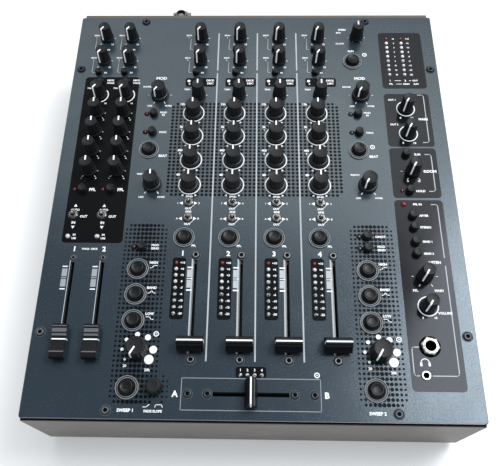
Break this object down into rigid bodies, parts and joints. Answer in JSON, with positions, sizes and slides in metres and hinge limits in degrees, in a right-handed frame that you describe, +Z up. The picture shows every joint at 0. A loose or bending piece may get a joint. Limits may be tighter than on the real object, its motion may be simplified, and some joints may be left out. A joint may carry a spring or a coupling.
{
  "type": "dj mixer",
  "caption": "Analogue DJ mixing desk: flat top panel with rotary knobs, toggles, push buttons, channel faders and a crossfader over a shallow metal case.",
  "frame": {"origin": "on the floor under the middle of the whole object, rear lamp tab included", "axes": "+X to the operator's right, +Y from the operator to the back, +Z up"},
  "size_m": [0.32, 0.38, 0.1023],
  "materials": {
    "panel_paint": "satin slate grey metallic paint",
    "case_paint": "satin grey paint",
    "knob_black": "soft-touch black",
    "button_black": "satin black",
    "cap_black": "satin black with a white line",
    "collar_clear": "clear, unlit",
    "lens_clear": "diffused, unlit",
    "plated": "nickel plated",
    "black_steel": "blackened steel",
    "foot_rubber": "matt",
    "board_laminate": "solder-masked laminate with components",
    "inner_steel": "bare",
    "socket_black": "moulded"
  },
  "bodies": {
    "chassis": {"top_panel": "panel_paint", "crossfader_plate": "panel_paint", "base_tray": "case_paint", "rear_panel": "case_paint", "aux_knobs": "knob_black", "eq_knobs": "knob_black", "button_collars": "collar_clear", "led_lenses": "lens_clear", "toggle_bushings": "plated", "fader_bodies": "inner_steel", "panel_screws": "black_steel", "rubber_feet": "foot_rubber", "control_board": "board_laminate", "headphone_sockets": "plated", "rear_sockets": "plated", "mains_inlet": "socket_black", "lamp_socket": "plated", "power_supply": "inner_steel"},
    "filter_1_depth_knob": {"filter_1_depth_knob": "knob_black"},
    "filter_2_depth_knob": {"filter_2_depth_knob": "knob_black"},
    "filter_1_resonance_knob": {"filter_1_resonance_knob": "knob_black"},
    "filter_2_resonance_knob": {"filter_2_resonance_knob": "knob_black"},
    "filter_1_frequency_knob": {"filter_1_frequency_knob": "knob_black"},
    "filter_2_frequency_knob": {"filter_2_frequency_knob": "knob_black"},
    "tempo_knob": {"tempo_knob": "knob_black"},
    "curve_knob": {"curve_knob": "knob_black"},
    "mix_1_knob": {"mix_1_knob": "knob_black"},
    "mix_2_knob": {"mix_2_knob": "knob_black"},
    "booth_knob": {"booth_knob": "knob_black"},
    "monitor_knob": {"monitor_knob": "knob_black"},
    "phones_knob": {"phones_knob": "knob_black"},
    "channel_1_level_knob": {"channel_1_level_knob": "knob_black"},
    "channel_2_level_knob": {"channel_2_level_knob": "knob_black"},
    "channel_3_level_knob": {"channel_3_level_knob": "knob_black"},
    "channel_4_level_knob": {"channel_4_level_knob": "knob_black"},
    "mic_1_level_knob": {"mic_1_level_knob": "knob_black"},
    "mic_2_level_knob": {"mic_2_level_knob": "knob_black"},
    "channel_fader_1": {"channel_fader_1": "cap_black"},
    "channel_fader_2": {"channel_fader_2": "cap_black"},
    "channel_fader_3": {"channel_fader_3": "cap_black"},
    "channel_fader_4": {"channel_fader_4": "cap_black"},
    "mic_fader_1": {"mic_fader_1": "cap_black"},
    "mic_fader_2": {"mic_fader_2": "cap_black"},
    "crossfader": {"crossfader": "cap_black"},
    "channel_1_filter_toggle": {"channel_1_filter_toggle": "plated"},
    "channel_2_filter_toggle": {"channel_2_filter_toggle": "plated"},
    "channel_3_filter_toggle": {"channel_3_filter_toggle": "plated"},
    "channel_4_filter_toggle": {"channel_4_filter_toggle": "plated"},
    "channel_1_side_toggle": {"channel_1_side_toggle": "plated"},
    "channel_2_side_toggle": {"channel_2_side_toggle": "plated"},
    "channel_3_side_toggle": {"channel_3_side_toggle": "plated"},
    "channel_4_side_toggle": {"channel_4_side_toggle": "plated"},
    "mic_1_toggle": {"mic_1_toggle": "plated"},
    "mic_2_toggle": {"mic_2_toggle": "plated"},
    "select_buttons": {"select_buttons": "button_black"},
    "lamp_buttons": {"lamp_buttons": "button_black"},
    "filter_buttons": {"filter_buttons": "button_black"},
    "channel_cue_buttons": {"channel_cue_buttons": "button_black"},
    "tap_buttons": {"tap_buttons": "button_black"},
    "mains_rocker": {"mains_rocker": "socket_black"}
  },
  "joints": [
    {"name": "filter_1_depth_turn", "type": "hinge", "parent": "chassis", "child": "filter_1_depth_knob", "pos_m": [-0.0817, 0.0823, 0.086], "axis": [0, 0, -1], "range_deg": [0, 300]},
    {"name": "filter_2_depth_turn", "type": "hinge", "parent": "chassis", "child": "filter_2_depth_knob", "pos_m": [0.0913, 0.0823, 0.086], "axis": [0, 0, -1], "range_deg": [0, 300]},
    {"name": "filter_1_resonance_turn", "type": "hinge", "parent": "chassis", "child": "filter_1_resonance_knob", "pos_m": [-0.0817, -0.0065, 0.086], "axis": [0, 0, -1], "range_deg": [-150, 150]},
    {"name": "filter_2_resonance_turn", "type": "hinge", "parent": "chassis", "child": "filter_2_resonance_knob", "pos_m": [0.0913, -0.0065, 0.086], "axis": [0, 0, -1], "range_deg": [0, 300]},
    {"name": "filter_1_frequency_turn", "type": "hinge", "parent": "chassis", "child": "filter_1_frequency_knob", "pos_m": [-0.0817, -0.1424, 0.086], "axis": [0, 0, -1], "range_deg": [0, 300]},
    {"name": "filter_2_frequency_turn", "type": "hinge", "parent": "chassis", "child": "filter_2_frequency_knob", "pos_m": [0.0913, -0.1424, 0.086], "axis": [0, 0, -1], "range_deg": [0, 300]},
    {"name": "tempo_turn", "type": "hinge", "parent": "chassis", "child": "tempo_knob", "pos_m": [0.0913, 0.1467, 0.086], "axis": [0, 0, -1], "range_deg": [-150, 150]},
    {"name": "curve_turn", "type": "hinge", "parent": "chassis", "child": "curve_knob", "pos_m": [-0.0678, -0.1694, 0.086], "axis": [0, 0, -1], "range_deg": [-150, 150]},
    {"name": "mix_1_turn", "type": "hinge", "parent": "chassis", "child": "mix_1_knob", "pos_m": [0.1283, 0.0684, 0.086], "axis": [0, 0, -1], "range_deg": [0, 300]},
    {"name": "mix_2_turn", "type": "hinge", "parent": "chassis", "child": "mix_2_knob", "pos_m": [0.1283, 0.0432, 0.086], "axis": [0, 0, -1], "range_deg": [0, 300]},
    {"name": "booth_turn", "type": "hinge", "parent": "chassis", "child": "booth_knob", "pos_m": [0.1283, 0.0067, 0.086], "axis": [0, 0, -1], "range_deg": [0, 300]},
    {"name": "monitor_turn", "type": "hinge", "parent": "chassis", "child": "monitor_knob", "pos_m": [0.1283, -0.0844, 0.086], "axis": [0, 0, -1], "range_deg": [0, 300]},
    {"name": "phones_turn", "type": "hinge", "parent": "chassis", "child": "phones_knob", "pos_m": [0.1283, -0.1078, 0.086], "axis": [0, 0, -1], "range_deg": [0, 300]},
    {"name": "channel_1_level_turn", "type": "hinge", "parent": "chassis", "child": "channel_1_level_knob", "pos_m": [-0.048, 0.0823, 0.086], "axis": [0, 0, -1], "range_deg": [-150, 150]},
    {"name": "channel_2_level_turn", "type": "hinge", "parent": "chassis", "child": "channel_2_level_knob", "pos_m": [-0.0132, 0.0823, 0.086], "axis": [0, 0, -1], "range_deg": [-150, 150]},
    {"name": "channel_3_level_turn", "type": "hinge", "parent": "chassis", "child": "channel_3_level_knob", "pos_m": [0.0216, 0.0823, 0.086], "axis": [0, 0, -1], "range_deg": [-150, 150]},
    {"name": "channel_4_level_turn", "type": "hinge", "parent": "chassis", "child": "channel_4_level_knob", "pos_m": [0.0564, 0.0823, 0.086], "axis": [0, 0, -1], "range_deg": [-150, 150]},
    {"name": "mic_1_level_turn", "type": "hinge", "parent": "chassis", "child": "mic_1_level_knob", "pos_m": [-0.1341, 0.0823, 0.086], "axis": [0, 0, -1], "range_deg": [0, 300]},
    {"name": "mic_2_level_turn", "type": "hinge", "parent": "chassis", "child": "mic_2_level_knob", "pos_m": [-0.1113, 0.0823, 0.086], "axis": [0, 0, -1], "range_deg": [0, 300]},
    {"name": "channel_fader_1_slide", "type": "slide", "parent": "chassis", "child": "channel_fader_1", "axis": [0, 1, 0], "range_m": [0, 0.06]},
    {"name": "channel_fader_2_slide", "type": "slide", "parent": "chassis", "child": "channel_fader_2", "axis": [0, 1, 0], "range_m": [0, 0.06]},
    {"name": "channel_fader_3_slide", "type": "slide", "parent": "chassis", "child": "channel_fader_3", "axis": [0, 1, 0], "range_m": [0, 0.06]},
    {"name": "channel_fader_4_slide", "type": "slide", "parent": "chassis", "child": "channel_fader_4", "axis": [0, 1, 0], "range_m": [0, 0.06]},
    {"name": "mic_fader_1_slide", "type": "slide", "parent": "chassis", "child": "mic_fader_1", "axis": [0, 1, 0], "range_m": [0, 0.06]},
    {"name": "mic_fader_2_slide", "type": "slide", "parent": "chassis", "child": "mic_fader_2", "axis": [0, 1, 0], "range_m": [0, 0.06]},
    {"name": "crossfader_slide", "type": "slide", "parent": "chassis", "child": "crossfader", "axis": [1, 0, 0], "range_m": [-0.0225, 0.0225]},
    {"name": "channel_1_filter_toggle_tilt", "type": "hinge", "parent": "chassis", "child": "channel_1_filter_toggle", "pos_m": [-0.0515, -0.0226, 0.0855], "axis": [0, 1, 0], "range_deg": [-12, 12]},
    {"name": "channel_2_filter_toggle_tilt", "type": "hinge", "parent": "chassis", "child": "channel_2_filter_toggle", "pos_m": [-0.0167, -0.0226, 0.0855], "axis": [0, 1, 0], "range_deg": [-12, 12]},
    {"name": "channel_3_filter_toggle_tilt", "type": "hinge", "parent": "chassis", "child": "channel_3_filter_toggle", "pos_m": [0.0181, -0.0226, 0.0855], "axis": [0, 1, 0], "range_deg": [-12, 12]},
    {"name": "channel_4_filter_toggle_tilt", "type": "hinge", "parent": "chassis", "child": "channel_4_filter_toggle", "pos_m": [0.0529, -0.0226, 0.0855], "axis": [0, 1, 0], "range_deg": [-12, 12]},
    {"name": "channel_1_side_toggle_tilt", "type": "hinge", "parent": "chassis", "child": "channel_1_side_toggle", "pos_m": [-0.0515, -0.0363, 0.0855], "axis": [0, 1, 0], "range_deg": [-12, 12]},
    {"name": "channel_2_side_toggle_tilt", "type": "hinge", "parent": "chassis", "child": "channel_2_side_toggle", "pos_m": [-0.0167, -0.0363, 0.0855], "axis": [0, 1, 0], "range_deg": [-12, 12]},
    {"name": "channel_3_side_toggle_tilt", "type": "hinge", "parent": "chassis", "child": "channel_3_side_toggle", "pos_m": [0.0181, -0.0363, 0.0855], "axis": [0, 1, 0], "range_deg": [-12, 12]},
    {"name": "channel_4_side_toggle_tilt", "type": "hinge", "parent": "chassis", "child": "channel_4_side_toggle", "pos_m": [0.0529, -0.0363, 0.0855], "axis": [0, 1, 0], "range_deg": [-12, 12]},
    {"name": "mic_1_toggle_tilt", "type": "hinge", "parent": "chassis", "child": "mic_1_toggle", "pos_m": [-0.1422, -0.0345, 0.0855], "axis": [1, 0, 0], "range_deg": [-12, 12]},
    {"name": "mic_2_toggle_tilt", "type": "hinge", "parent": "chassis", "child": "mic_2_toggle", "pos_m": [-0.1194, -0.0345, 0.0855], "axis": [1, 0, 0], "range_deg": [-12, 12]},
    {"name": "select_press", "type": "slide", "parent": "chassis", "child": "select_buttons", "axis": [0, 0, -1], "range_m": [0, 0.0015], "stiffness_N_per_m": 400, "springref_m": -0.0005},
    {"name": "lamp_press", "type": "slide", "parent": "chassis", "child": "lamp_buttons", "axis": [0, 0, -1], "range_m": [0, 0.0015], "stiffness_N_per_m": 400, "springref_m": -0.0005},
    {"name": "filter_press", "type": "slide", "parent": "chassis", "child": "filter_buttons", "axis": [0, 0, -1], "range_m": [0, 0.0015], "stiffness_N_per_m": 400, "springref_m": -0.0005},
    {"name": "channel_cue_press", "type": "slide", "parent": "chassis", "child": "channel_cue_buttons", "axis": [0, 0, -1], "range_m": [0, 0.0015], "stiffness_N_per_m": 400, "springref_m": -0.0005},
    {"name": "tap_press", "type": "slide", "parent": "chassis", "child": "tap_buttons", "axis": [0, 0, -1], "range_m": [0, 0.0015], "stiffness_N_per_m": 400, "springref_m": -0.0005},
    {"name": "mains_rocker_tilt", "type": "hinge", "parent": "chassis", "child": "mains_rocker", "pos_m": [0.134, 0.1705, 0.054], "axis": [1, 0, 0], "range_deg": [0, 16]}
  ]
}
